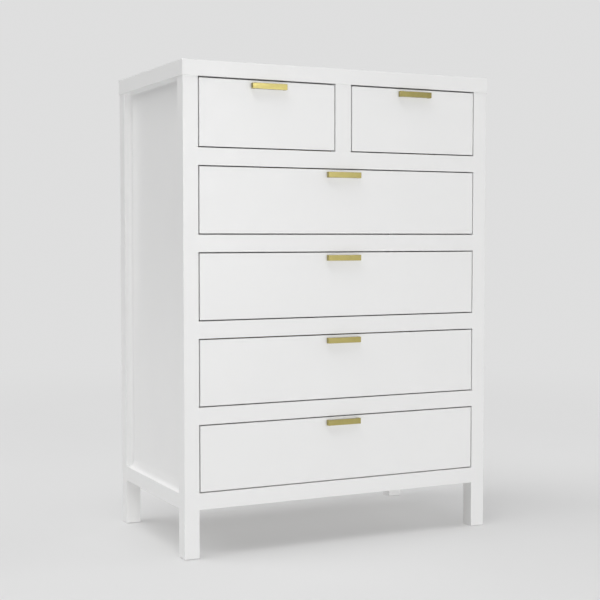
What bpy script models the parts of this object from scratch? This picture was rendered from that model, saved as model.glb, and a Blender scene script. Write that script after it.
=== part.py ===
"""A six-drawer dresser, ready to come apart on a bench.

A painted wooden carcass stands on four square posts. Two half-width drawers
sit over four full-width ones. Each drawer is a front, a box and a bar pull,
and it runs on two side-mounted slides: a channel on the carcass and a runner
on the box.

Units are metres and +Z is up. The origin is on the floor, in the middle of
the whole footprint, and the drawers open towards -Y.
"""

import bmesh
import bpy
from mathutils import Matrix, Vector

# Overall size: 36 in wide, 20 in deep and 50 in tall, pulls not counted.
WIDTH = 0.9144
DEPTH = 0.508
HEIGHT = 1.27

# Gap left between pieces that touch on the real object.
CLEARANCE = 0.0003

# Carcass
TOP_THICKNESS = 0.0405
TOP_OVERHANG = 0.002
POST_SIZE = 0.041
FLOOR_CLEARANCE = 0.127
BOTTOM_RAIL_HEIGHT = 0.0427
RAIL_HEIGHT = 0.0445
RAIL_DEPTH = 0.024
ROW_PITCH = 0.22025
STILE_WIDTH = 0.047
SIDE_RAIL_HEIGHT = 0.040
SIDE_RAIL_THICKNESS = 0.036
BACK_RAIL_THICKNESS = 0.022
SIDE_PANEL_RECESS = 0.022
SIDE_PANEL_THICKNESS = 0.012
BACK_PANEL_RECESS = 0.008
BACK_PANEL_THICKNESS = 0.006

# Joinery: stub tenons on the rails, and grooves that hold the panels.
TENON_LENGTH = 0.012
TENON_THICKNESS = 0.010
TENON_SHOULDER = 0.008
GROOVE_DEPTH = 0.006

# Drawers
DRAWER_GAP = 0.003
TOP_ROW_UPPER_GAP = 0.0035
FRONT_THICKNESS = 0.019
BOX_LIFT = 0.014
BOX_HEIGHT = 0.135
BOX_LENGTH = 0.440
BOX_WALL = 0.012
BOX_FLOOR_LIFT = 0.010
BOX_FLOOR_THICKNESS = 0.006

# Pulls: a flat bar on two end legs, with a finger gap behind it.
PULL_LENGTH = 0.098
PULL_HEIGHT = 0.015
PULL_PROJECTION = 0.012
PULL_BAR_THICKNESS = 0.005
PULL_LEG_WIDTH = 0.008
PULL_DROP = 0.0065

# Slides
SLIDE_SPACE = 0.0127
SLIDE_SETBACK = 0.006
SLIDE_SHEET = 0.0012
CHANNEL_LENGTH = 0.450
CHANNEL_HEIGHT = 0.045
CHANNEL_DEPTH = 0.0102
CHANNEL_LIP = 0.005
RUNNER_LENGTH = 0.430
RUNNER_HEIGHT = 0.030
RUNNER_DEPTH = 0.0085

# Where the main planes lie. The pulls stand proud of the top, and the origin
# is in the middle of everything, so the carcass sits a little behind it.
PULL_PROUD = PULL_PROJECTION - TOP_OVERHANG
TOP_FRONT_Y = (PULL_PROUD - DEPTH) / 2
TOP_BACK_Y = TOP_FRONT_Y + DEPTH
FACE_Y = TOP_FRONT_Y + TOP_OVERHANG
BACK_Y = TOP_BACK_Y - TOP_OVERHANG
TOP_UNDERSIDE_Z = HEIGHT - TOP_THICKNESS
POST_OUTER_X = WIDTH / 2 - TOP_OVERHANG
POST_INNER_X = POST_OUTER_X - POST_SIZE
FRONT_POST_BACK_Y = FACE_Y + POST_SIZE
BACK_POST_FRONT_Y = BACK_Y - POST_SIZE
BOTTOM_ROW_Z = FLOOR_CLEARANCE + BOTTOM_RAIL_HEIGHT
SIDE_RAIL_TOP_Z = FLOOR_CLEARANCE + SIDE_RAIL_HEIGHT
SIDE_PANEL_OUTER_X = POST_OUTER_X - SIDE_PANEL_RECESS
SIDE_PANEL_INNER_X = SIDE_PANEL_OUTER_X - SIDE_PANEL_THICKNESS
BACK_PANEL_BACK_Y = BACK_Y - BACK_PANEL_RECESS
BACK_PANEL_FRONT_Y = BACK_PANEL_BACK_Y - BACK_PANEL_THICKNESS

# The rows below the top one, from the bottom upwards.
LOWER_ROWS = ["bottom", "fourth", "third", "second"]
SIDES = {"left": -1, "right": 1}

# Finish: base colour, roughness, metallic.
FINISHES = {
    "white_paint": ((0.83, 0.83, 0.82, 1.0), 0.42, 0.0),
    "birch": ((0.70, 0.53, 0.34, 1.0), 0.55, 0.0),
    "brass": ((0.60, 0.50, 0.22, 1.0), 0.34, 1.0),
    "zinc_plate": ((0.58, 0.59, 0.61, 1.0), 0.36, 1.0),
}


def clear_scene():
    for obj in list(bpy.data.objects):
        bpy.data.objects.remove(obj, do_unlink=True)


def make_material(name, finish):
    color, roughness, metallic = FINISHES[finish]
    material = bpy.data.materials.new(name)
    material.use_nodes = True
    shader = material.node_tree.nodes["Principled BSDF"]
    shader.inputs["Base Color"].default_value = color
    shader.inputs["Roughness"].default_value = roughness
    shader.inputs["Metallic"].default_value = metallic
    material.diffuse_color = color
    return material


def towards(side, inner, outer):
    """The X span from inner to outer, both measured from the middle plane towards one side."""
    return tuple(sorted((side * inner, side * outer)))


def shrunk(span, amount):
    return (span[0] + amount, span[1] - amount)


def grown(span, amount):
    return (span[0] - amount, span[1] + amount)


def middle(spans):
    return Vector([(low + high) / 2 for low, high in spans])


def blocks_mesh(name, blocks, origin):
    """One mesh holding a box for each block, where a block is its X, Y and Z spans."""
    bm = bmesh.new()
    for spans in blocks:
        size = Vector([high - low for low, high in spans])
        place = Matrix.LocRotScale(middle(spans) - origin, None, size)
        bmesh.ops.create_cube(bm, size=1.0, matrix=place)
    mesh = bpy.data.meshes.new(name)
    bm.to_mesh(mesh)
    bm.free()
    return mesh


def add_node(name, mesh, location, finish, parent=None):
    """Add a sub-part whose mesh is centred on its own origin."""
    mesh.materials.append(make_material(name + "_finish", finish))
    obj = bpy.data.objects.new(name, mesh)
    bpy.context.scene.collection.objects.link(obj)
    obj.location = location
    if parent:
        obj.parent = parent
        obj.location = location - parent.location
    return obj


def add_block(name, spans, finish, parent=None):
    origin = middle(spans)
    return add_node(name, blocks_mesh(name, [spans], origin), origin, finish, parent)


def add_tool(obj, blocks, origin, operation):
    """Join blocks to an object or cut them out of it, with a Boolean that stays live."""
    name = f"{obj.name}_{operation.lower()}"
    tool = bpy.data.objects.new(name, blocks_mesh(name, blocks, origin))
    bpy.context.scene.collection.objects.link(tool)
    tool.parent = obj
    tool.hide_render = True
    tool.display_type = "WIRE"
    modifier = obj.modifiers.new(operation.title(), "BOOLEAN")
    modifier.operation = operation
    modifier.solver = "EXACT"
    modifier.object = tool


def prism_mesh(name, outline, length, axis):
    """Extrude a closed outline along Y or Z, centred on the origin along that axis."""
    bm = bmesh.new()
    half = length / 2
    if axis == "Y":
        corners = [(a, -half, b) for a, b in outline]
        stretch = Vector((0, length, 0))
    else:
        corners = [(a, b, -half) for a, b in outline]
        stretch = Vector((0, 0, length))
    face = bm.faces.new([bm.verts.new(corner) for corner in corners])
    end = bmesh.ops.extrude_face_region(bm, geom=[face])["geom"]
    moved = [item for item in end if isinstance(item, bmesh.types.BMVert)]
    bmesh.ops.translate(bm, verts=moved, vec=stretch)
    bmesh.ops.recalc_face_normals(bm, faces=bm.faces)
    mesh = bpy.data.meshes.new(name)
    bm.to_mesh(mesh)
    bm.free()
    return mesh


def rail_levels():
    """Name and Z span of each rail across the front, from the bottom upwards."""
    levels = [("front_bottom_rail", (FLOOR_CLEARANCE, BOTTOM_ROW_Z))]
    count = len(LOWER_ROWS)
    for index in range(count):
        top = BOTTOM_ROW_Z + (index + 1) * ROW_PITCH
        levels.append((f"front_rail_{count - index}", (top - RAIL_HEIGHT, top)))
    return levels


def front_tenon(z):
    """Y and Z spans of the tenons on a rail across the front."""
    middle_y = FACE_Y + RAIL_DEPTH / 2
    half = TENON_THICKNESS / 2
    return (middle_y - half, middle_y + half), shrunk(z, TENON_SHOULDER)


def back_tenon():
    """Y and Z spans of the tenons on the rail across the back."""
    middle_y = BACK_Y - BACK_RAIL_THICKNESS / 2
    half = TENON_THICKNESS / 2
    return (middle_y - half, middle_y + half), shrunk((FLOOR_CLEARANCE, BOTTOM_ROW_Z), TENON_SHOULDER)


def side_tenon(side):
    """X and Z spans of the tenons on a side rail."""
    middle_x = POST_OUTER_X - SIDE_RAIL_THICKNESS / 2
    half = TENON_THICKNESS / 2
    x = towards(side, middle_x - half, middle_x + half)
    return x, shrunk((FLOOR_CLEARANCE, SIDE_RAIL_TOP_Z), TENON_SHOULDER)


def side_groove(side):
    """X and Z spans of the groove that holds a side panel."""
    x = grown(towards(side, SIDE_PANEL_INNER_X, SIDE_PANEL_OUTER_X), CLEARANCE)
    return x, (SIDE_RAIL_TOP_Z - GROOVE_DEPTH, HEIGHT)


def back_groove():
    """Y and Z spans of the groove that holds the back panel."""
    y = grown((BACK_PANEL_FRONT_Y, BACK_PANEL_BACK_Y), CLEARANCE)
    return y, (BOTTOM_ROW_Z - GROOVE_DEPTH, HEIGHT)


def mortise_reach(side):
    """X span of a mortise cut into a post's inner face."""
    return towards(side, POST_INNER_X - CLEARANCE, POST_INNER_X + TENON_LENGTH)


def add_posts():
    for place, side in SIDES.items():
        x = towards(side, POST_INNER_X, POST_OUTER_X)
        z = (0.0, TOP_UNDERSIDE_Z - CLEARANCE)
        side_x, side_z = side_tenon(side)
        groove_x, groove_z = side_groove(side)

        y = (FACE_Y, FRONT_POST_BACK_Y)
        post = add_block(f"front_{place}_post", (x, y, z), "white_paint")
        deep = (FRONT_POST_BACK_Y - TENON_LENGTH, FRONT_POST_BACK_Y + CLEARANCE)
        shallow = (FRONT_POST_BACK_Y - GROOVE_DEPTH, FRONT_POST_BACK_Y + CLEARANCE)
        cuts = [(grown(side_x, CLEARANCE), deep, grown(side_z, CLEARANCE))]
        cuts.append((groove_x, shallow, groove_z))
        for _, level in rail_levels():
            tenon_y, tenon_z = front_tenon(level)
            cuts.append((mortise_reach(side), grown(tenon_y, CLEARANCE), grown(tenon_z, CLEARANCE)))
        add_tool(post, cuts, middle((x, y, z)), "DIFFERENCE")

        y = (BACK_POST_FRONT_Y, BACK_Y)
        post = add_block(f"back_{place}_post", (x, y, z), "white_paint")
        deep = (BACK_POST_FRONT_Y - CLEARANCE, BACK_POST_FRONT_Y + TENON_LENGTH)
        shallow = (BACK_POST_FRONT_Y - CLEARANCE, BACK_POST_FRONT_Y + GROOVE_DEPTH)
        cuts = [(grown(side_x, CLEARANCE), deep, grown(side_z, CLEARANCE))]
        cuts.append((groove_x, shallow, groove_z))
        tenon_y, tenon_z = back_tenon()
        cuts.append((mortise_reach(side), grown(tenon_y, CLEARANCE), grown(tenon_z, CLEARANCE)))
        groove_y, groove_z = back_groove()
        groove_reach = towards(side, POST_INNER_X - CLEARANCE, POST_INNER_X + GROOVE_DEPTH)
        cuts.append((groove_reach, groove_y, groove_z))
        add_tool(post, cuts, middle((x, y, z)), "DIFFERENCE")


def add_rail_across(name, y, z, tenon):
    """A rail between the left and right posts, with a stub tenon at each end."""
    x = (-POST_INNER_X + CLEARANCE, POST_INNER_X - CLEARANCE)
    rail = add_block(name, (x, y, z), "white_paint")
    reach = grown((-POST_INNER_X, POST_INNER_X), TENON_LENGTH - CLEARANCE)
    add_tool(rail, [(reach, *tenon)], middle((x, y, z)), "UNION")
    return rail


def add_rails():
    for name, level in rail_levels():
        add_rail_across(name, (FACE_Y, FACE_Y + RAIL_DEPTH), level, front_tenon(level))

    y = (BACK_Y - BACK_RAIL_THICKNESS, BACK_Y)
    z = (FLOOR_CLEARANCE, BOTTOM_ROW_Z)
    rail = add_rail_across("back_bottom_rail", y, z, back_tenon())
    x = (-POST_INNER_X, POST_INNER_X)
    groove_y, groove_z = back_groove()
    add_tool(rail, [(x, groove_y, groove_z)], rail.location, "DIFFERENCE")

    for place, side in SIDES.items():
        x = towards(side, POST_OUTER_X - SIDE_RAIL_THICKNESS, POST_OUTER_X)
        y = shrunk((FRONT_POST_BACK_Y, BACK_POST_FRONT_Y), CLEARANCE)
        z = (FLOOR_CLEARANCE, SIDE_RAIL_TOP_Z)
        rail = add_block(f"{place}_side_rail", (x, y, z), "white_paint")
        tenon_x, tenon_z = side_tenon(side)
        reach = grown((FRONT_POST_BACK_Y, BACK_POST_FRONT_Y), TENON_LENGTH - CLEARANCE)
        add_tool(rail, [(tenon_x, reach, tenon_z)], rail.location, "UNION")
        groove_x, groove_z = side_groove(side)
        run = (FRONT_POST_BACK_Y, BACK_POST_FRONT_Y)
        add_tool(rail, [(groove_x, run, groove_z)], rail.location, "DIFFERENCE")


def add_panels():
    z = (HEIGHT - TOP_THICKNESS, HEIGHT)
    add_block("top_panel", ((-WIDTH / 2, WIDTH / 2), (TOP_FRONT_Y, TOP_BACK_Y), z), "white_paint")

    inset = GROOVE_DEPTH - CLEARANCE
    for place, side in SIDES.items():
        x = towards(side, SIDE_PANEL_INNER_X, SIDE_PANEL_OUTER_X)
        y = grown((FRONT_POST_BACK_Y, BACK_POST_FRONT_Y), inset)
        z = (SIDE_RAIL_TOP_Z - inset, TOP_UNDERSIDE_Z - CLEARANCE)
        add_block(f"{place}_side_panel", (x, y, z), "white_paint")

    x = grown((-POST_INNER_X, POST_INNER_X), inset)
    y = (BACK_PANEL_FRONT_Y, BACK_PANEL_BACK_Y)
    z = (BOTTOM_ROW_Z - inset, TOP_UNDERSIDE_Z - CLEARANCE)
    add_block("back_panel", (x, y, z), "white_paint")


def add_top_divider():
    """The stile between the two top drawers, and the partition behind it."""
    rail_top = BOTTOM_ROW_Z + len(LOWER_ROWS) * ROW_PITCH
    x = (-STILE_WIDTH / 2, STILE_WIDTH / 2)
    z = shrunk((rail_top, TOP_UNDERSIDE_Z), CLEARANCE)
    add_block("top_center_stile", (x, (FACE_Y, FACE_Y + RAIL_DEPTH), z), "white_paint")

    y = shrunk((FACE_Y + RAIL_DEPTH, BACK_PANEL_FRONT_Y), CLEARANCE)
    z = (rail_top - RAIL_HEIGHT, TOP_UNDERSIDE_Z - CLEARANCE)
    add_block("top_partition", (x, y, z), "birch")


def bent_sheet_outline(height, depth, lip):
    """Cross-section of a C-shaped sheet: web at a = 0, flanges along +a, lips turned inwards."""
    half = height / 2
    sheet = SLIDE_SHEET
    upper = [(sheet, half - sheet), (depth - sheet, half - sheet), (depth - sheet, half - lip)]
    upper += [(depth, half - lip), (depth, half)]
    if not lip:
        upper = [(sheet, half - sheet), (depth, half - sheet), (depth, half)]
    lower = [(a, -b) for a, b in reversed(upper)]
    return [(0.0, -half), *lower, *upper, (0.0, half)]


def add_slide(row, place, edge, inwards, centre_z, drawer):
    """Channel and runner beside one edge of an opening; inwards is +1 or -1 along X."""
    start = FACE_Y + FRONT_THICKNESS + SLIDE_SETBACK
    outline = bent_sheet_outline(CHANNEL_HEIGHT, CHANNEL_DEPTH, CHANNEL_LIP)
    mesh = prism_mesh("channel", [(inwards * a, b) for a, b in outline], CHANNEL_LENGTH, "Y")
    location = Vector((edge + inwards * CLEARANCE, start + CHANNEL_LENGTH / 2, centre_z))
    add_node(f"channel_{row}_{place}", mesh, location, "zinc_plate")

    outline = bent_sheet_outline(RUNNER_HEIGHT, RUNNER_DEPTH, 0.0)
    mesh = prism_mesh("runner", [(-inwards * a, b) for a, b in outline], RUNNER_LENGTH, "Y")
    web_x = edge + inwards * (SLIDE_SPACE - CLEARANCE)
    location = Vector((web_x, start + RUNNER_LENGTH / 2, centre_z))
    add_node(f"runner_{row}_{place}", mesh, location, "zinc_plate", drawer)


def add_pull(name, centre_x, top_z, drawer):
    """A flat bar held off the drawer's face by a leg at each end."""
    half = PULL_LENGTH / 2
    face = -CLEARANCE
    inside = PULL_BAR_THICKNESS - PULL_PROJECTION
    leg = half - PULL_LEG_WIDTH
    outline = [(-half, -PULL_PROJECTION), (half, -PULL_PROJECTION), (half, face), (leg, face)]
    outline += [(leg, inside), (-leg, inside), (-leg, face), (-half, face)]
    mesh = prism_mesh(name, outline, PULL_HEIGHT, "Z")
    location = Vector((centre_x, FACE_Y, top_z - PULL_DROP - PULL_HEIGHT / 2))
    add_node(name, mesh, location, "brass", drawer)


def add_drawer_box(name, x, floor_z, drawer):
    """An open box: four walls round a floor that is let in a little above their lower edges."""
    start = FACE_Y + FRONT_THICKNESS + CLEARANCE
    y = (start, start + BOX_LENGTH)
    z = (floor_z, floor_z + BOX_HEIGHT)
    box = add_block(name, (x, y, z), "birch", drawer)
    inside_x = shrunk(x, BOX_WALL)
    inside_y = shrunk(y, BOX_WALL)
    floor_low = floor_z + BOX_FLOOR_LIFT
    floor_top = floor_low + BOX_FLOOR_THICKNESS
    cavity = (inside_x, inside_y, (floor_top, z[1] + BOX_WALL))
    recess = (inside_x, inside_y, (z[0] - BOX_WALL, floor_low))
    add_tool(box, [cavity, recess], middle((x, y, z)), "DIFFERENCE")


def add_drawer(row, opening_x, opening_z, upper_gap):
    """One drawer and its slides. The opening is given by its X and Z spans."""
    centre_x = (opening_x[0] + opening_x[1]) / 2
    front_z = (opening_z[0] + DRAWER_GAP, opening_z[1] - upper_gap)

    drawer = bpy.data.objects.new(f"drawer_{row}", None)
    bpy.context.scene.collection.objects.link(drawer)
    drawer.location = (centre_x, FACE_Y, (front_z[0] + front_z[1]) / 2)

    front_y = (FACE_Y, FACE_Y + FRONT_THICKNESS)
    add_block(f"drawer_{row}_front", (shrunk(opening_x, DRAWER_GAP), front_y, front_z), "white_paint", drawer)
    box_z = opening_z[0] + BOX_LIFT
    add_drawer_box(f"drawer_{row}_box", shrunk(opening_x, SLIDE_SPACE), box_z, drawer)
    add_pull(f"drawer_{row}_pull", centre_x, front_z[1], drawer)
    slide_z = box_z + BOX_HEIGHT / 2
    add_slide(row, "left", opening_x[0], 1, slide_z, drawer)
    add_slide(row, "right", opening_x[1], -1, slide_z, drawer)


def add_drawers():
    full_width = (-POST_INNER_X, POST_INNER_X)
    for index, row in enumerate(LOWER_ROWS):
        low = BOTTOM_ROW_Z + index * ROW_PITCH
        add_drawer(row, full_width, (low, low + ROW_PITCH - RAIL_HEIGHT), DRAWER_GAP)

    low = BOTTOM_ROW_Z + len(LOWER_ROWS) * ROW_PITCH
    for place, side in SIDES.items():
        half_width = towards(side, STILE_WIDTH / 2, POST_INNER_X)
        add_drawer(f"top_{place}", half_width, (low, TOP_UNDERSIDE_Z), TOP_ROW_UPPER_GAP)


def build_dresser():
    clear_scene()
    add_posts()
    add_rails()
    add_panels()
    add_top_divider()
    add_drawers()


build_dresser()
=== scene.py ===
"""The looks of the six-drawer dresser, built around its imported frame.

The drawer fronts, the pulls, the top and the partition keep the frame's shapes and get
softened edges, and the back panel keeps its shape as it is. The posts, rails, stile and side
panels are made anew with rounded edges and coves. The drawer boxes are built up from their
boards, and the slides are rolled sheet with ball cages and screws. Everything is in metres,
with +Z up and the drawers opening towards -Y.
"""

import math

import bmesh
import bpy
from mathutils import Euler, Matrix, Vector


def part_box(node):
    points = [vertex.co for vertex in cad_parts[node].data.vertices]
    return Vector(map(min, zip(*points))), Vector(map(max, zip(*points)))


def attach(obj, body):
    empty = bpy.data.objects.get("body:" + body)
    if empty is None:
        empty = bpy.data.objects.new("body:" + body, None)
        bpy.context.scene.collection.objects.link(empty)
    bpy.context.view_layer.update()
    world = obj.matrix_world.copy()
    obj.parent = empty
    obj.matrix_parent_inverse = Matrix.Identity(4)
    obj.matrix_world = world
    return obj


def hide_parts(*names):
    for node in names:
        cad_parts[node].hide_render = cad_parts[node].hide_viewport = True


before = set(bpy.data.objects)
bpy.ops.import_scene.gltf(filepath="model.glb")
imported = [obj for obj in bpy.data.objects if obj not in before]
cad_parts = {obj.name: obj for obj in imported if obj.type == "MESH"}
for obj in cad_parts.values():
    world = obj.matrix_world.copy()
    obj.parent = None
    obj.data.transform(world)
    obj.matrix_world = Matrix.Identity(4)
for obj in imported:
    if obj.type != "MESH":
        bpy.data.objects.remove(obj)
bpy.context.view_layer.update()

X, Y, Z = range(3)
ROWS = ["top_left", "top_right", "second", "third", "fourth", "bottom"]
SIDES = {"left": -1, "right": 1}
CARCASS = "carcass"

# Openings between the posts, across the front and along a side, and the underside of the top.
ACROSS = [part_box("front_left_post")[1].x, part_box("front_right_post")[0].x]
ALONG = [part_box("front_left_post")[1].y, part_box("back_left_post")[0].y]
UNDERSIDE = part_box("top_panel")[0].z

# Edges: the radius of each kind, and the steps in a rounding.
PAINTED_EDGE = 0.0009
TOP_EDGE = 0.0012
BOARD_EDGE = 0.0006
BRASS_EDGE = 0.0005
FOOT_CHAMFER = 0.0015
EDGE_SEGMENTS = 3
BOARD_SEGMENTS = 2

# Limits: how close two corners count as one, in a frame node and at the pole of a turned shape;
# how flat an edge is dissolved, from which angle on it is rounded, and from which angle on it
# stays hard in the shading; and how well an edge has to follow an axis to run along it.
WELD_DISTANCE = 0.00001
POLE_DISTANCE = 0.000005
FLAT_ANGLE = math.radians(1)
BEVEL_ANGLE = math.radians(35)
SHARP_ANGLE = math.radians(32)
PARALLEL = 0.99

# Glides: how far the painted foot stands off the floor on one, how far it goes up into the
# foot, its radius, and the height and share of the radius that wear has left.
GLIDE_HEIGHT = 0.0016
GLIDE_SUNK = 0.001
GLIDE_RADIUS = 0.011
GLIDE_WEAR_HEIGHT = 0.0006
GLIDE_WEAR_SHARE = 0.9
GLIDE_STEPS = 32

# Side panels: how far they reach into the posts and rail, and into the top; the cove round the
# face, with its depth, its width along each edge of the panel, and the flat strip inside it.
PANEL_SEAT = 0.005
PANEL_TOP_SEAT = 0.002
COVE_DEPTH = 0.011
COVE_WIDTHS = {"front": 0.010, "back": 0.010, "bottom": 0.030, "top": 0.007}
COVE_STEPS = 8
COVE_STRIP = 0.001

# Drawer boxes, whose boards fill the frame's box node.
BOX_WALL = 0.012
BOX_RABBET = 0.006
BOX_FLOOR_LIFT = 0.010
BOX_FLOOR_THICKNESS = 0.006
BOX_FLOOR_GROOVE = 0.005
JOINT_GAP = 0.00015

# Slides: the sheet and its bends, and the lip of a channel.
SLIDE_SHEET = 0.0012
BEND_RADIUS = 0.0022
BEND_STEPS = 5
CHANNEL_LIP = 0.005

# Balls: their middles lie past the edges of the runner by a share of their radius. The cage
# round them: its sheet and bends, how far behind the channel's front end it starts, its length,
# the distance of its web from the wall, and its reach past the middles of the balls.
BALL_RADIUS = 0.0030
BALL_SPACING = 0.0125
BALL_OFFSET_SHARE = 0.75
BALL_SEGMENTS, BALL_RINGS = 12, 8
CAGE_SHEET = 0.0006
CAGE_BEND = 0.001
CAGE_START = 0.012
CAGE_LENGTH = 0.200
CAGE_WEB = 0.0021
CAGE_REACH = 0.0022

# Screws: radius of the head, height of its dome.
PULL_SCREW = (0.0042, 0.0024)
FRONT_SCREW = (0.0045, 0.0022)
SLIDE_SCREW = (0.0032, 0.0010)

# How far a head is sunk, the steps round it and over its dome, and the cross in it: the length
# and half width of an arm as shares of the radius, the bottom and top as shares of the height.
SCREW_SUNK = 0.0002
SCREW_STEPS = 28
DOME_STEPS = 7
CROSS_ARM, CROSS_HALF_WIDTH = 0.60, 0.13
CROSS_BOTTOM, CROSS_TOP = 0.30, 2.0

# Where screws sit: in from the ends of a pull, in from the sides of a drawer box and above its
# underside, in from the ends of a channel, and behind the front end of a runner. Then the turn
# of the first screw in a group, and how much further each of the others is turned.
PULL_SCREW_INSET = 0.004
FRONT_SCREW_INSET = 0.06
FRONT_SCREW_HEIGHTS = (0.042, 0.108)
CHANNEL_SCREW_INSET = 0.007
RUNNER_SCREWS_ALONG = (0.035, 0.20, 0.36)
FIRST_SCREW_TURN, SCREW_TURN_STEP = 0.4, 0.7

# Room: brightness of the backdrop, of the light from all around, and of the floor's own glow;
# the floor's shade, how much it varies, its radius, and where it fades into the backdrop.
HAZE = 0.735
AMBIENT = 0.10
FLOOR_GLOW = 0.286
FLOOR_SHADE = 0.45
FLOOR_VARIATION = 0.004
FLOOR_REACH = 34.0
FLOOR_SEGMENTS = 96
FADE_START, FADE_END = 1.4, 4.6

# Soft boxes, all aimed at the middle of the dresser: degrees to the right of straight in front
# of it, degrees above it, distance, width, height and power in watts.
LIGHTS_AIM = Vector((0.0, 0.0, 0.7))
LIGHTS = {
    "front": (16, 6, 12.0, 2.10, 2.10, 187.0),
    "front_low": (0, 0, 10.0, 5.36, 1.00, 75.0),
    "left_low": (-20, 0, 10.0, 5.36, 1.00, 159.0),
    "front_high": (-30, 65, 12.0, 6.43, 6.43, 164.0),
    "left_high": (-60, 70, 12.0, 6.43, 6.43, 538.0),
    "left": (-110, 40, 12.0, 8.74, 6.43, 522.0),
    "right": (90, 20, 10.0, 7.28, 5.36, 300.0),
    "right_high": (60, 45, 12.0, 6.43, 6.43, 143.0),
    "behind": (180, 50, 10.0, 7.28, 5.36, 138.0),
}

# Camera: place, turn to the right and tilt down in radians, lens and sensor in millimetres,
# and how far it sees.
CAMERA_PLACE = (-1.5951, -3.2377, 0.8277)
CAMERA_YAW = 0.45596
CAMERA_PITCH = 0.05072
CAMERA_LENS = 75.94
CAMERA_SENSOR = 36.0
CAMERA_CLIP_END = 120.0


# ---------------------------------------------------------------- materials

class Finish:
    """A new material, with short ways to add the nodes that feed its Principled shader."""

    def __init__(self, name, **fixed):
        self.material = bpy.data.materials.new(name)
        self.material.use_nodes = True
        self.tree = self.material.node_tree
        self.shader = self.tree.nodes["Principled BSDF"]
        for socket, value in fixed.items():
            self.shader.inputs[socket.replace("_", " ")].default_value = value

    def node(self, kind, inputs, output=0, **settings):
        """Add a node, set or connect its inputs, and return one of its outputs."""
        node = self.tree.nodes.new("ShaderNode" + kind)
        for name, value in settings.items():
            setattr(node, name, value)
        for key, value in inputs.items():
            if isinstance(value, bpy.types.NodeSocket):
                self.tree.links.new(value, node.inputs[key])
            else:
                node.inputs[key].default_value = value
        return node.outputs[output]

    def feed(self, socket, value):
        self.tree.links.new(value, self.shader.inputs[socket])

    def place(self):
        """The point in the row frame, at rest."""
        return self.node("TexCoord", {}, "Object")

    def facing(self):
        """The surface's direction, in the row frame at rest."""
        return self.node("TexCoord", {}, "Normal")

    def shifted(self, vector, amount):
        """The vector, moved by an amount that differs from object to object."""
        random = self.node("ObjectInfo", {}, "Random")
        most = (amount, amount, amount)
        shift = self.node("VectorMath", {0: random, 1: most}, operation="MULTIPLY")
        return self.node("VectorMath", {0: vector, 1: shift}, operation="ADD")

    def stretched(self, vector, scale):
        return self.node("VectorMath", {0: vector, 1: scale}, operation="MULTIPLY")

    def noise(self, vector, scale, detail=2.0, roughness=0.5):
        inputs = {"Vector": vector, "Scale": scale, "Detail": detail, "Roughness": roughness}
        return self.node("TexNoise", inputs)

    def math(self, operation, a, b=0.0):
        return self.node("Math", {0: a, 1: b}, operation=operation)

    def weighted(self, first, first_weight, second, second_weight):
        """The sum of two values, each times its weight."""
        return self.math(
            "ADD",
            self.math("MULTIPLY", first, first_weight),
            self.math("MULTIPLY", second, second_weight),
        )

    def remap(self, value, low, high, start=0.0, end=1.0):
        """Stretch the part of a value from start to end over the range from low to high."""
        inputs = {"Value": value, "From Min": start, "From Max": end, "To Min": low, "To Max": high}
        return self.node("MapRange", inputs)

    def blend(self, factor, a, b):
        """A colour between a and b."""
        return self.node("Mix", {0: factor, 6: a, 7: b}, 2, data_type="RGBA")

    def bump(self, height, distance, under=None):
        """A dent of up to that distance, in metres, on top of an earlier one."""
        inputs = {"Height": height, "Distance": distance, "Strength": 1.0}
        if under:
            inputs["Normal"] = under
        return self.node("Bump", inputs)


def rgb(red, green, blue):
    return (red, green, blue, 1.0)


def white_paint():
    """Sprayed satin paint: a faint orange peel, slow waves, and sheen that varies a little."""
    paint = Finish("white_paint", Specular_IOR_Level=0.70)
    place = paint.place()
    patches = paint.noise(place, scale=5.0, detail=3.0)
    specks = paint.noise(place, scale=220.0)
    tone = paint.weighted(patches, 0.8, specks, 0.2)
    paint.feed("Base Color", paint.blend(tone, rgb(0.845, 0.845, 0.842), rgb(0.885, 0.885, 0.880)))
    sheen = paint.noise(place, scale=26.0, detail=4.0, roughness=0.6)
    paint.feed("Roughness", paint.remap(sheen, 0.34, 0.42, start=0.25, end=0.75))
    waves = paint.bump(paint.noise(place, scale=14.0, detail=1.0), 0.00025)
    peel = paint.bump(paint.noise(place, scale=420.0, roughness=0.4), 0.00004, waves)
    dust = paint.bump(paint.noise(place, scale=1900.0, detail=1.0), 0.000008, peel)
    paint.feed("Normal", dust)
    return paint.material


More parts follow.
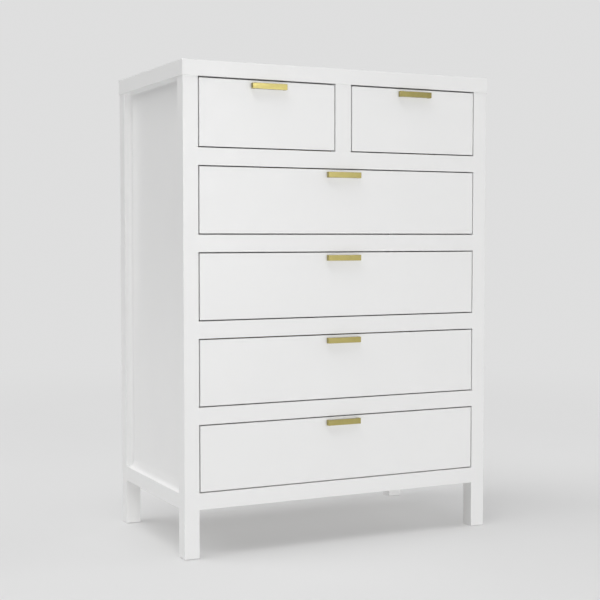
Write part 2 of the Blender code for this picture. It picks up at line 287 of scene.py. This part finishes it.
def birch(name, grain, thickness):
    """Lacquered birch plywood. Grain and thickness are the axes of the face grain and of the
    board's thickness; thin plies of alternating grain show on the edges."""
    wood = Finish(name, Coat_Weight=0.12, Coat_Roughness=0.25)
    place = wood.shifted(wood.place(), 9.0)

    def along_grain(share):
        """The place, with its distances along the grain made that much smaller."""
        scale = [1.0, 1.0, 1.0]
        scale[grain] = share
        return wood.stretched(place, scale)

    broad = wood.noise(along_grain(0.05), scale=11.0, roughness=0.4)
    rings = wood.math("PINGPONG", wood.math("MULTIPLY", broad, 9.0), 1.0)
    rings = wood.math("SMOOTH_MIN", rings, wood.math("SUBTRACT", 1.2, rings))
    fibre = wood.noise(along_grain(0.02), scale=900.0, detail=3.0, roughness=0.6)
    pores = wood.noise(along_grain(0.09), scale=1500.0, detail=1.0)
    pores = wood.remap(pores, 0.0, 1.0, start=0.62, end=0.70)
    flame = wood.noise(place, scale=9.0)

    figure = wood.weighted(rings, 0.42, fibre, 0.30)
    figure = wood.math("ADD", figure, wood.math("MULTIPLY", flame, 0.34))
    figure = wood.remap(figure, 0.0, 1.0, start=0.25, end=0.80)
    face = wood.blend(figure, rgb(0.545, 0.365, 0.205), rgb(0.745, 0.575, 0.385))
    face = wood.blend(wood.math("MULTIPLY", pores, 0.45), face, rgb(0.33, 0.20, 0.10))

    two_plies = 0.0027
    level = wood.node("SeparateXYZ", {0: wood.place()}, thickness)
    plies = wood.math("SINE", wood.math("MULTIPLY", level, 2.0 * math.pi / two_plies))
    plies = wood.remap(plies, 0.0, 1.0, start=-0.35, end=0.35)
    edge_tone = wood.math("MULTIPLY", fibre, 0.5)
    dark_ply = wood.blend(edge_tone, rgb(0.33, 0.20, 0.105), rgb(0.46, 0.30, 0.16))
    light_ply = wood.blend(edge_tone, rgb(0.60, 0.44, 0.27), rgb(0.74, 0.58, 0.39))
    edge = wood.blend(plies, dark_ply, light_ply)
    direction = wood.node("SeparateXYZ", {0: wood.facing()}, thickness)
    on_edge = wood.math("LESS_THAN", wood.math("ABSOLUTE", direction), 0.6)
    wood.feed("Base Color", wood.blend(on_edge, face, edge))

    wood.feed("Roughness", wood.remap(fibre, 0.40, 0.60, start=0.3, end=0.7))
    grooves = wood.bump(fibre, 0.00006)
    wood.feed("Normal", wood.bump(wood.math("MULTIPLY", pores, -1.0), 0.00008, grooves))
    return wood.material


def brass():
    """Brass brushed lengthwise, with a thin lacquer."""
    metal = Finish("brass", Metallic=1.0, Coat_Weight=0.10, Coat_Roughness=0.20)
    place = metal.shifted(metal.place(), 3.0)
    along = metal.stretched(place, (0.012, 1.0, 1.0))
    strokes = metal.noise(along, scale=5200.0, roughness=0.6)
    bands = metal.noise(metal.stretched(place, (0.05, 1.0, 1.0)), scale=420.0)
    cloud = metal.noise(place, scale=60.0, detail=3.0)
    tone = metal.remap(metal.weighted(strokes, 0.5, cloud, 0.5), 0.0, 1.0, start=0.3, end=0.7)
    metal.feed("Base Color", metal.blend(tone, rgb(0.382, 0.327, 0.116), rgb(0.442, 0.381, 0.146)))
    marks = metal.math("ADD", strokes, bands)
    metal.feed("Roughness", metal.remap(marks, 0.29, 0.39, start=0.7, end=1.3))
    metal.feed("Normal", metal.bump(bands, 0.00001, metal.bump(strokes, 0.000012)))
    return metal.material


def zinc():
    """Rolled, zinc-plated sheet: cloudy patches, a bluish cast and faint lines along its length."""
    metal = Finish("zinc_steel", Metallic=1.0)
    place = metal.shifted(metal.place(), 5.0)
    patches = metal.stretched(place, (1.0, 0.4, 1.0))
    cloud = metal.noise(patches, scale=70.0, detail=4.0, roughness=0.6)
    lines = metal.noise(metal.stretched(place, (1.0, 0.01, 1.0)), scale=2600.0)
    tone = metal.remap(cloud, 0.0, 1.0, start=0.35, end=0.65)
    metal.feed("Base Color", metal.blend(tone, rgb(0.52, 0.54, 0.57), rgb(0.70, 0.70, 0.69)))
    marks = metal.math("ADD", cloud, lines)
    metal.feed("Roughness", metal.remap(marks, 0.24, 0.44, start=0.7, end=1.3))
    metal.feed("Normal", metal.bump(lines, 0.000015))
    return metal.material


def bright_steel():
    """Polished steel for balls and screw heads, with fine handling marks."""
    metal = Finish("bright_steel", Metallic=1.0)
    marks = metal.noise(metal.place(), scale=2400.0, detail=3.0, roughness=0.7)
    metal.feed("Base Color", metal.blend(marks, rgb(0.60, 0.60, 0.61), rgb(0.76, 0.76, 0.75)))
    metal.feed("Roughness", metal.remap(marks, 0.14, 0.30, start=0.3, end=0.7))
    metal.feed("Normal", metal.bump(marks, 0.000006))
    return metal.material


def nylon_and_contact_shade():
    """Moulded grey-brown plastic, scuffed underneath; dark partly as painted contact shadow."""
    plastic = Finish("nylon_and_contact_shade")
    scuffs = plastic.noise(plastic.place(), scale=900.0, detail=4.0, roughness=0.6)
    colour = plastic.blend(scuffs, rgb(0.085, 0.075, 0.065), rgb(0.16, 0.15, 0.135))
    plastic.feed("Base Color", colour)
    plastic.feed("Roughness", plastic.remap(scuffs, 0.42, 0.62, start=0.3, end=0.7))
    plastic.feed("Normal", plastic.bump(scuffs, 0.00003))
    return plastic.material


def hardboard():
    """Hardboard with a printed white face and a fine pressed texture."""
    board = Finish("white_hardboard")
    place = board.place()
    press = board.noise(place, scale=700.0, detail=3.0)
    cloud = board.noise(place, scale=8.0)
    board.feed("Base Color", board.blend(cloud, rgb(0.74, 0.735, 0.72), rgb(0.79, 0.785, 0.77)))
    board.feed("Roughness", board.remap(press, 0.42, 0.55, start=0.3, end=0.7))
    board.feed("Normal", board.bump(press, 0.00004))
    return board.material


WHITE = white_paint()
NYLON_AND_CONTACT_SHADE = nylon_and_contact_shade()
HARDBOARD = hardboard()
BRASS = brass()
ZINC = zinc()
STEEL = bright_steel()
BIRCH_SIDE = birch("birch_side_boards", grain=Y, thickness=X)
BIRCH_END = birch("birch_end_boards", grain=X, thickness=Y)


# ------------------------------------------------------------------- pieces

def add_object(name, bm):
    """Turn a bmesh into an object of the scene."""
    mesh = bpy.data.meshes.new(name)
    bm.to_mesh(mesh)
    bm.free()
    obj = bpy.data.objects.new(name, mesh)
    bpy.context.scene.collection.objects.link(obj)
    return obj


def add_piece(name, bm, material, body, node=None):
    """Turn a bmesh in row-frame coordinates into a piece that rides on a body. The node is the
    one that it stands for."""
    bmesh.ops.recalc_face_normals(bm, faces=bm.faces)
    piece = add_object(name, bm)
    piece.data.materials.append(material)
    piece.data.shade_smooth()
    piece.data.set_sharp_from_angle(angle=SHARP_ANGLE)
    weighted = piece.modifiers.new("Weighted", "WEIGHTED_NORMAL")
    weighted.keep_sharp = True
    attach(piece, body)
    if node:
        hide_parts(node)


def dress(node, material, edge=0.0):
    """Give a frame node its material and, with modifiers only, softened edges."""
    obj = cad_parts[node]
    obj.data.materials.clear()
    obj.data.materials.append(material)
    if edge:
        weld = obj.modifiers.new("Weld", "WELD")
        weld.merge_threshold = WELD_DISTANCE
        planar = obj.modifiers.new("Planar", "DECIMATE")
        planar.decimate_type = "DISSOLVE"
        planar.angle_limit = FLAT_ANGLE
        bevel = obj.modifiers.new("Bevel", "BEVEL")
        bevel.width = edge
        bevel.segments = EDGE_SEGMENTS
        bevel.limit_method = "ANGLE"
        bevel.angle_limit = BEVEL_ANGLE
        bevel.harden_normals = True


def spans_of(node):
    low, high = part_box(node)
    return [[low[axis], high[axis]] for axis in (X, Y, Z)]


def shrunk(span, amount):
    return [span[0] + amount, span[1] - amount]


def in_order(span, direction):
    """The ends of a span, as they come when going up (1) or down (-1) its axis."""
    return span if direction > 0 else span[::-1]


def plain_box(spans):
    """A bmesh of one box."""
    size = Vector([high - low for low, high in spans])
    centre = Vector([(low + high) / 2 for low, high in spans])
    bm = bmesh.new()
    bmesh.ops.create_cube(bm, size=1.0, matrix=Matrix.LocRotScale(centre, None, size))
    return bm


def runs_along(edge, axes):
    direction = (edge.verts[1].co - edge.verts[0].co).normalized()
    return any(abs(direction[axis]) > PARALLEL for axis in axes)


def soften(bm, edges, width, segments=EDGE_SEGMENTS):
    bmesh.ops.bevel(
        bm, geom=edges, offset=width, segments=segments, profile=0.5, affect="EDGES")


def softened_box(spans, axes=(X, Y, Z), edge=PAINTED_EDGE):
    """A bmesh of one box, with the edges that run along these axes rounded."""
    bm = plain_box(spans)
    soften(bm, [e for e in bm.edges if runs_along(e, axes)], edge)
    return bm


def extruded(outline, reach):
    """A bmesh of a flat outline, extruded along a vector."""
    bm = bmesh.new()
    face = bm.faces.new([bm.verts.new(point) for point in outline])
    end = bmesh.ops.extrude_face_region(bm, geom=[face])["geom"]
    moved = [item for item in end if isinstance(item, bmesh.types.BMVert)]
    bmesh.ops.translate(bm, verts=moved, vec=reach)
    return bm


def turned(profile, steps):
    """A bmesh turned about the Z axis from a profile of radii and heights."""
    bm = bmesh.new()
    line = [bm.verts.new((radius, 0.0, height)) for radius, height in profile]
    edges = [bm.edges.new(pair) for pair in zip(line, line[1:])]
    bmesh.ops.spin(
        bm, geom=line + edges, axis=(0, 0, 1), cent=(0, 0, 0), steps=steps, angle=2 * math.pi)
    bmesh.ops.remove_doubles(bm, verts=bm.verts, dist=POLE_DISTANCE)
    bmesh.ops.recalc_face_normals(bm, faces=bm.faces)
    return bm


# --------------------------------------------------------------------- case

def add_posts():
    """Posts with rounded corners and a small chamfer round each foot, standing on glides."""
    glide_top = GLIDE_HEIGHT + GLIDE_SUNK
    glide = [
        (0.0, 0.0),
        (GLIDE_RADIUS * GLIDE_WEAR_SHARE, 0.0),
        (GLIDE_RADIUS, GLIDE_WEAR_HEIGHT),
        (GLIDE_RADIUS, glide_top),
        (0.0, glide_top),
    ]
    for end in ("front", "back"):
        for place in SIDES:
            node = f"{end}_{place}_post"
            spans = spans_of(node)
            spans[Z] = [GLIDE_HEIGHT, UNDERSIDE]
            middle_z = sum(spans[Z]) / 2
            bm = plain_box(spans)
            low_edges = [e for e in bm.edges if e.verts[0].co.z < middle_z]
            foot = [e for e in low_edges if not runs_along(e, [Z])]
            soften(bm, foot, FOOT_CHAMFER, segments=1)
            soften(bm, [e for e in bm.edges if runs_along(e, [Z])], PAINTED_EDGE)
            add_piece(f"painted_{node}", bm, WHITE, CARCASS, node)

            # A glide under each foot: a real part, but its dark colour also paints the contact
            # shadow there.
            bm = turned(glide, GLIDE_STEPS)
            bm.transform(Matrix.Translation((sum(spans[X]) / 2, sum(spans[Y]) / 2, 0.0)))
            add_piece(f"glide_{end}_{place}", bm, NYLON_AND_CONTACT_SHADE, CARCASS)


def add_bar(name, node, axis, run):
    """A painted bar that stands for a node, but has a span of its own along one axis."""
    spans = spans_of(node)
    spans[axis] = run
    add_piece(name, softened_box(spans, [axis]), WHITE, CARCASS, node)


def add_rails():
    """Rails that run into the posts' rounded corners, so that paint fills the joints, and the
    stile on the top rail."""
    kinds = ("front_rail", "front_bottom", "back_bottom")
    for node in sorted(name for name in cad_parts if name.startswith(kinds)):
        add_bar(f"painted_{node}", node, X, shrunk(ACROSS, -PAINTED_EDGE))
    for place in SIDES:
        node = f"{place}_side_rail"
        add_bar(f"painted_{node}", node, Y, shrunk(ALONG, -PAINTED_EDGE))
    run = [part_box("front_rail_1")[1].z - PAINTED_EDGE, UNDERSIDE]
    add_bar("painted_center_stile", "top_center_stile", Z, run)


def add_side_panels():
    """Side panels with a cove round the outer face, sealed to the posts, the rail and the top."""
    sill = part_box("left_side_rail")[1].z
    seated = dict.fromkeys(COVE_WIDTHS, -PANEL_SEAT) | {"top": -PANEL_TOP_SEAT}
    sealed = dict.fromkeys(COVE_WIDTHS, -PAINTED_EDGE)

    def loop(x, inset):
        """The corners of the opening, made smaller by an inset at each edge."""
        near, far = ALONG[0] + inset["front"], ALONG[1] - inset["back"]
        low, high = sill + inset["bottom"], UNDERSIDE - inset["top"]
        return [(x, near, low), (x, far, low), (x, far, high), (x, near, high)]

    for place, side in SIDES.items():
        node = f"{place}_side_panel"
        hidden_x, face_x = in_order(spans_of(node)[X], side)
        loops = [loop(hidden_x, seated), loop(face_x, seated)]
        loops += [loop(face_x, sealed), loop(face_x + side * COVE_DEPTH, sealed)]
        for step in range(COVE_STEPS + 1):
            angle = math.pi / 2 * step / COVE_STEPS
            rise = COVE_DEPTH * (1.0 - math.sin(angle))
            inset = {edge: width * (1.0 - math.cos(angle)) for edge, width in COVE_WIDTHS.items()}
            loops.append(loop(face_x + side * rise, inset))
        inset = {edge: width + COVE_STRIP for edge, width in COVE_WIDTHS.items()}
        loops.append(loop(face_x, inset))

        bm = bmesh.new()
        rings = [[bm.verts.new(corner) for corner in corners] for corners in loops]
        for ring, after in zip(rings, rings[1:]):
            for index in range(len(ring)):
                bm.faces.new([ring[index - 1], ring[index], after[index], after[index - 1]])
        bm.faces.new(rings[0])
        bm.faces.new(rings[-1])
        add_piece(f"painted_{node}", bm, WHITE, CARCASS, node)


def dress_case():
    dress("top_panel", WHITE, TOP_EDGE)
    dress("back_panel", WHITE)
    dress("top_partition", BIRCH_SIDE, BOARD_EDGE)


# ------------------------------------------------------------------- screws

def cross_prism(arm, half_width, low, high):
    """A cross-shaped prism about the Z axis."""
    quarter = [(arm, -half_width), (arm, half_width), (half_width, half_width)]
    outline = []
    for turn in range(4):
        cos, sin = round(math.cos(turn * math.pi / 2)), round(math.sin(turn * math.pi / 2))
        outline += [(a * cos - b * sin, a * sin + b * cos, low) for a, b in quarter]
    bm = extruded(outline, (0, 0, high - low))
    bmesh.ops.recalc_face_normals(bm, faces=bm.faces)
    return bm


def screw_head(radius, height):
    """The mesh of a pan head with a cross recess, standing on the plane z = 0 and facing +Z."""
    angles = [math.pi / 2 * step / DOME_STEPS for step in range(DOME_STEPS + 1)]
    profile = [(0.0, -SCREW_SUNK), (radius, -SCREW_SUNK)]
    profile += [(radius * math.cos(a), height * math.sin(a)) for a in angles]
    cross = cross_prism(
        radius * CROSS_ARM, radius * CROSS_HALF_WIDTH, height * CROSS_BOTTOM, height * CROSS_TOP)
    head = add_object("screw_head", turned(profile, SCREW_STEPS))
    recess = add_object("screw_recess", cross)
    cut = head.modifiers.new("Recess", "BOOLEAN")
    cut.object = recess
    cut.solver = "EXACT"
    bpy.context.view_layer.update()
    evaluated = head.evaluated_get(bpy.context.evaluated_depsgraph_get())
    result = bpy.data.meshes.new_from_object(evaluated)
    for obj in (head, recess):
        mesh = obj.data
        bpy.data.objects.remove(obj)
        bpy.data.meshes.remove(mesh)
    return result


SCREW_HEADS = {size: screw_head(*size) for size in (PULL_SCREW, FRONT_SCREW, SLIDE_SCREW)}


def add_screws(name, places, towards, size, body):
    """One piece that holds a group of screw heads facing along an axis."""
    turn = Vector((0, 0, 1)).rotation_difference(Vector(towards)).to_matrix().to_4x4()
    bm = bmesh.new()
    for index, place in enumerate(places):
        own_turn = Matrix.Rotation(FIRST_SCREW_TURN + index * SCREW_TURN_STEP, 4, "Z")
        mesh = SCREW_HEADS[size].copy()
        mesh.transform(Matrix.Translation(place) @ turn @ own_turn)
        bm.from_mesh(mesh)
        bpy.data.meshes.remove(mesh)
    add_piece(name, bm, STEEL, body)


# ------------------------------------------------------------------ drawers

def rabbeted_side(x, y, z, inner):
    """A side board, with a rabbet at each end where the end boards are let in."""
    outer_x, inner_x = in_order(x, inner)
    neck_x = inner_x - inner * (BOX_RABBET + JOINT_GAP)
    run = shrunk(y, BOX_WALL + JOINT_GAP)
    outline = [(outer_x, y[0]), (neck_x, y[0]), (neck_x, run[0]), (inner_x, run[0])]
    outline += [(inner_x, run[1]), (neck_x, run[1]), (neck_x, y[1]), (outer_x, y[1])]
    bm = extruded([(a, b, z[0]) for a, b in outline], (0, 0, z[1] - z[0]))
    soften(bm, list(bm.edges), BOARD_EDGE, BOARD_SEGMENTS)
    return bm


def add_drawer_box(row):
    """Five boards for one drawer: two sides, a sub-front and a back let into them, and a floor."""
    body = f"drawer_{row}"
    box = f"{body}_box"
    x, y, z = spans_of(box)
    inside_x, inside_y = shrunk(x, BOX_WALL), shrunk(y, BOX_WALL)
    end_x = shrunk(inside_x, -BOX_RABBET)
    floor_x, floor_y = shrunk(inside_x, -BOX_FLOOR_GROOVE), shrunk(inside_y, -BOX_FLOOR_GROOVE)
    floor_low = z[0] + BOX_FLOOR_LIFT
    floor_z = [floor_low, floor_low + BOX_FLOOR_THICKNESS]

    sides = {
        "left_side": rabbeted_side([x[0], inside_x[0]], y, z, 1),
        "right_side": rabbeted_side([inside_x[1], x[1]], y, z, -1),
    }
    ends = {
        "sub_front": softened_box([end_x, [y[0], inside_y[0]], z], edge=BOARD_EDGE),
        "back": softened_box([end_x, [inside_y[1], y[1]], z], edge=BOARD_EDGE),
    }
    for name, bm in sides.items():
        add_piece(f"{body}_{name}", bm, BIRCH_SIDE, body, box)
    for name, bm in ends.items():
        add_piece(f"{body}_{name}", bm, BIRCH_END, body, box)
    floor = softened_box([floor_x, floor_y, floor_z])
    add_piece(f"{body}_floor", floor, HARDBOARD, body, box)


def add_drawers():
    """Each drawer's front, pull and box, and the screws that hold the pull and the front."""
    for row in ROWS:
        body = f"drawer_{row}"
        dress(f"{body}_front", WHITE, PAINTED_EDGE)
        dress(f"{body}_pull", BRASS, BRASS_EDGE)
        add_drawer_box(row)

        pull_x, _, pull_z = spans_of(f"{body}_pull")
        behind_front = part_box(f"{body}_front")[1].y
        ends = shrunk(pull_x, PULL_SCREW_INSET)
        places = [(x, behind_front, sum(pull_z) / 2) for x in ends]
        add_screws(f"{body}_pull_screws", places, (0, 1, 0), PULL_SCREW, body)

        box_x, box_y, box_z = spans_of(f"{body}_box")
        places = [
            (x, box_y[0] + BOX_WALL, box_z[0] + height)
            for x in shrunk(box_x, FRONT_SCREW_INSET)
            for height in FRONT_SCREW_HEIGHTS
        ]
        add_screws(f"{body}_front_screws", places, (0, 1, 0), FRONT_SCREW, body)


# ------------------------------------------------------------------- slides

def rounded_path(points, radius):
    """The corners of an open path, each replaced by an arc."""
    path = [Vector(points[0])]
    for before, corner, after in zip(points, points[1:], points[2:]):
        corner = Vector(corner)
        back = (Vector(before) - corner).normalized()
        on = (Vector(after) - corner).normalized()
        centre = corner + (back + on) * radius
        for step in range(BEND_STEPS + 1):
            angle = math.pi / 2 * step / BEND_STEPS
            path.append(centre - on * radius * math.cos(angle) - back * radius * math.sin(angle))
    path.append(Vector(points[-1]))
    return path


def sheet_outline(points, radius, thickness):
    """The closed outline of a bent sheet whose middle follows an open path."""
    path = rounded_path(points, radius)
    left, right = [], []
    for index, point in enumerate(path):
        ahead = path[min(index + 1, len(path) - 1)]
        behind = path[max(index - 1, 0)]
        along = (ahead - behind).normalized()
        normal = Vector((-along.y, along.x)) * thickness / 2
        left.append(point + normal)
        right.append(point - normal)
    return left + right[::-1]


def rolled_sheet(name, outline, run, body, node=None):
    """Extrude a cross-section, given as X and Z, along a span of Y."""
    bm = extruded([(a, run[0], b) for a, b in outline], (0, run[1] - run[0], 0))
    add_piece(name, bm, ZINC, body, node)


def mirrored(corners):
    """The upper half of a cross-section, followed by its mirror image below the middle."""
    return corners + [(a, -b) for a, b in reversed(corners)]


def add_balls(name, centre_x, levels, run, body):
    """Two rows of balls in a cage."""
    bm = bmesh.new()
    count = int((run[1] - run[0]) / BALL_SPACING)
    for level in levels:
        for index in range(count):
            place = (centre_x, run[0] + BALL_SPACING * (index + 0.5), level)
            bmesh.ops.create_uvsphere(
                bm, u_segments=BALL_SEGMENTS, v_segments=BALL_RINGS, radius=BALL_RADIUS,
                matrix=Matrix.Translation(place))
    add_piece(name, bm, STEEL, body)


def add_slide(row, place):
    """A channel on the case, a runner on the drawer, and the caged balls between them."""
    side = SIDES[place]
    body = f"drawer_{row}"
    channel = f"channel_{row}_{place}"
    runner = f"runner_{row}_{place}"
    channel_x, run, channel_z = spans_of(channel)
    wall_x = in_order(channel_x, side)[1]
    depth = channel_x[1] - channel_x[0]
    middle_z = sum(channel_z) / 2
    half = (channel_z[1] - channel_z[0]) / 2
    runner_x, runner_run, runner_z = spans_of(runner)
    web = abs(in_order(runner_x, side)[0] - wall_x)
    tip = web - (runner_x[1] - runner_x[0])
    runner_half = (runner_z[1] - runner_z[0]) / 2
    inset = SLIDE_SHEET / 2

    def at(a, b):
        """A point of the cross-section, a into the opening from the wall and b above the middle."""
        return Vector((wall_x - side * a, middle_z + b))

    def section(corners, radius=BEND_RADIUS, thickness=SLIDE_SHEET):
        """The outline of a bent sheet, from the corners of the upper half of its middle line."""
        return sheet_outline([at(a, b) for a, b in mirrored(corners)], radius, thickness)

    high = half - inset
    corners = [(depth - inset, half - CHANNEL_LIP), (depth - inset, high), (inset, high)]
    rolled_sheet(f"rolled_{channel}", section(corners), run, CARCASS, channel)
    high = runner_half - inset
    corners = [(tip, high), (web - inset, high)]
    rolled_sheet(f"rolled_{runner}", section(corners), runner_run, body, runner)

    level = (runner_half + half - SLIDE_SHEET) / 2
    balls = tip + BALL_RADIUS * BALL_OFFSET_SHARE
    cage_low = run[0] + CAGE_START
    cage_run = [cage_low, cage_low + CAGE_LENGTH]
    outline = section([(balls + CAGE_REACH, level), (CAGE_WEB, level)], CAGE_BEND, CAGE_SHEET)
    rolled_sheet(f"slide_{row}_{place}_cage", outline, cage_run, CARCASS)
    levels = (middle_z + level, middle_z - level)
    add_balls(f"slide_{row}_{place}_balls", at(balls, 0).x, levels, cage_run, CARCASS)

    x = at(SLIDE_SHEET, 0).x
    places = [(x, y, middle_z) for y in shrunk(run, CHANNEL_SCREW_INSET)]
    add_screws(f"{channel}_screws", places, (-side, 0, 0), SLIDE_SCREW, CARCASS)
    x = at(web - SLIDE_SHEET, 0).x
    places = [(x, runner_run[0] + along, middle_z) for along in RUNNER_SCREWS_ALONG]
    add_screws(f"{runner}_screws", places, (side, 0, 0), SLIDE_SCREW, body)


# --------------------------------------------------------------------- room

def add_floor():
    """A pale, faintly glowing floor that fades into the colour of the backdrop far away."""
    floor = Finish("floor", Roughness=1.0, Specular_IOR_Level=0.0,
                   Emission_Color=rgb(1, 1, 1), Emission_Strength=FLOOR_GLOW)
    place = floor.place()
    lightest, darkest = FLOOR_SHADE + FLOOR_VARIATION, FLOOR_SHADE - FLOOR_VARIATION
    grey = floor.remap(floor.noise(place, scale=3.0), darkest, lightest)
    floor.feed("Base Color", floor.node("CombineColor", {0: grey, 1: grey, 2: grey}))
    distance = floor.node("VectorMath", {0: place}, "Value", operation="LENGTH")
    inputs = {"Value": distance, "From Min": FADE_START, "From Max": FADE_END}
    far = floor.node("MapRange", inputs, interpolation_type="SMOOTHSTEP")
    far = floor.math("MULTIPLY", far, floor.node("LightPath", {}, "Is Camera Ray"))
    backdrop = floor.node("Emission", {"Color": rgb(HAZE, HAZE, HAZE), "Strength": 1.0})
    mixed = floor.node("MixShader", {0: far, 1: floor.shader.outputs[0], 2: backdrop})
    floor.tree.links.new(mixed, floor.tree.nodes["Material Output"].inputs["Surface"])

    bm = bmesh.new()
    bmesh.ops.create_circle(bm, cap_ends=True, segments=FLOOR_SEGMENTS, radius=FLOOR_REACH)
    piece = add_object("floor", bm)
    piece.data.materials.append(floor.material)


def add_world():
    """A plain backdrop, and weaker, even light from all around."""
    world = bpy.data.worlds.new("studio")
    bpy.context.scene.world = world
    world.use_nodes = True
    tree = world.node_tree
    ambient = tree.nodes["Background"]
    ambient.inputs["Color"].default_value = rgb(AMBIENT, AMBIENT, AMBIENT)
    backdrop = tree.nodes.new("ShaderNodeBackground")
    backdrop.inputs["Color"].default_value = rgb(HAZE, HAZE, HAZE)
    ray = tree.nodes.new("ShaderNodeLightPath")
    mix = tree.nodes.new("ShaderNodeMixShader")
    tree.links.new(ray.outputs["Is Camera Ray"], mix.inputs[0])
    tree.links.new(ambient.outputs[0], mix.inputs[1])
    tree.links.new(backdrop.outputs[0], mix.inputs[2])
    tree.links.new(mix.outputs[0], tree.nodes["World Output"].inputs["Surface"])


def add_lights():
    for name, (bearing, rise, distance, width, height, power) in LIGHTS.items():
        light = bpy.data.lights.new(name, "AREA")
        light.shape = "RECTANGLE"
        light.size = width
        light.size_y = height
        light.energy = power
        lamp = bpy.data.objects.new(name, light)
        bpy.context.scene.collection.objects.link(lamp)
        bearing, rise = math.radians(bearing), math.radians(rise)
        level = math.cos(rise)
        towards = Vector((math.sin(bearing) * level, -math.cos(bearing) * level, math.sin(rise)))
        lamp.location = LIGHTS_AIM + towards * distance
        lamp.rotation_euler = (-towards).to_track_quat("-Z", "Y").to_euler()
        lamp.visible_camera = False


def add_camera():
    camera = bpy.data.cameras.new("camera")
    camera.lens = CAMERA_LENS
    camera.sensor_width = CAMERA_SENSOR
    camera.clip_end = CAMERA_CLIP_END
    obj = bpy.data.objects.new("camera", camera)
    bpy.context.scene.collection.objects.link(obj)
    obj.location = CAMERA_PLACE
    obj.rotation_euler = Euler((math.pi / 2 - CAMERA_PITCH, 0.0, -CAMERA_YAW))
    bpy.context.scene.camera = obj


add_posts()
add_rails()
add_side_panels()
dress_case()
add_drawers()
for row in ROWS:
    for place in SIDES:
        add_slide(row, place)

add_floor()
add_world()
add_lights()
add_camera()
bpy.context.scene.view_settings.view_transform = "Standard"
